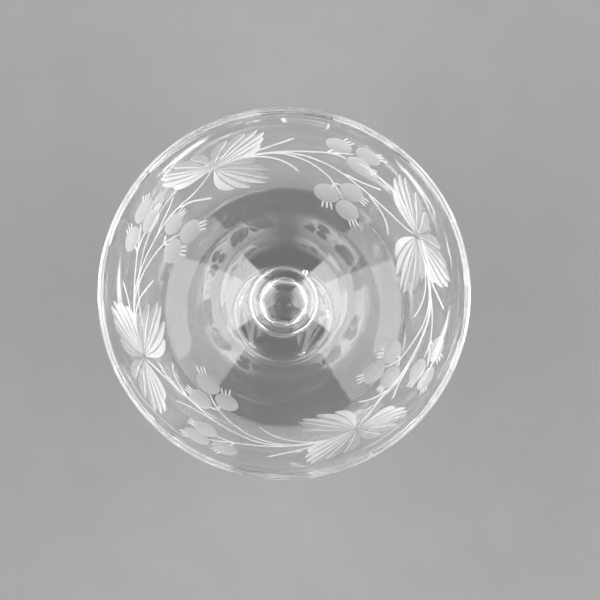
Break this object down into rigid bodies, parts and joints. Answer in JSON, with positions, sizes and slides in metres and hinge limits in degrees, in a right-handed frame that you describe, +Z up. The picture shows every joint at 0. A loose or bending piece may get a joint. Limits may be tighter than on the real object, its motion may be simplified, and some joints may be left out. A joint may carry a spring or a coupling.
{
  "type": "wine glass",
  "caption": "Stemmed clear-crystal wine glass: rounded open bowl, button knop, six-sided cut stem and round domed foot, the bowl wall wheel-engraved with a fruiting vine.",
  "frame": {"origin": "on the glass's axis, in the plane that the foot stands on", "axes": "+Z up along the axis from the foot to the mouth; +X is the right-hand side seen from above with +Y away from the viewer"},
  "size_m": [0.095, 0.095, 0.095],
  "materials": {
    "clear_crystal": "polished, colourless",
    "engraved_crystal": "polished, with matt wheel-cut engraving on the outside"
  },
  "bodies": {
    "root": {"foot": "clear_crystal", "stem": "clear_crystal", "button_knop": "clear_crystal", "bowl": "engraved_crystal"}
  },
  "joints": []
}
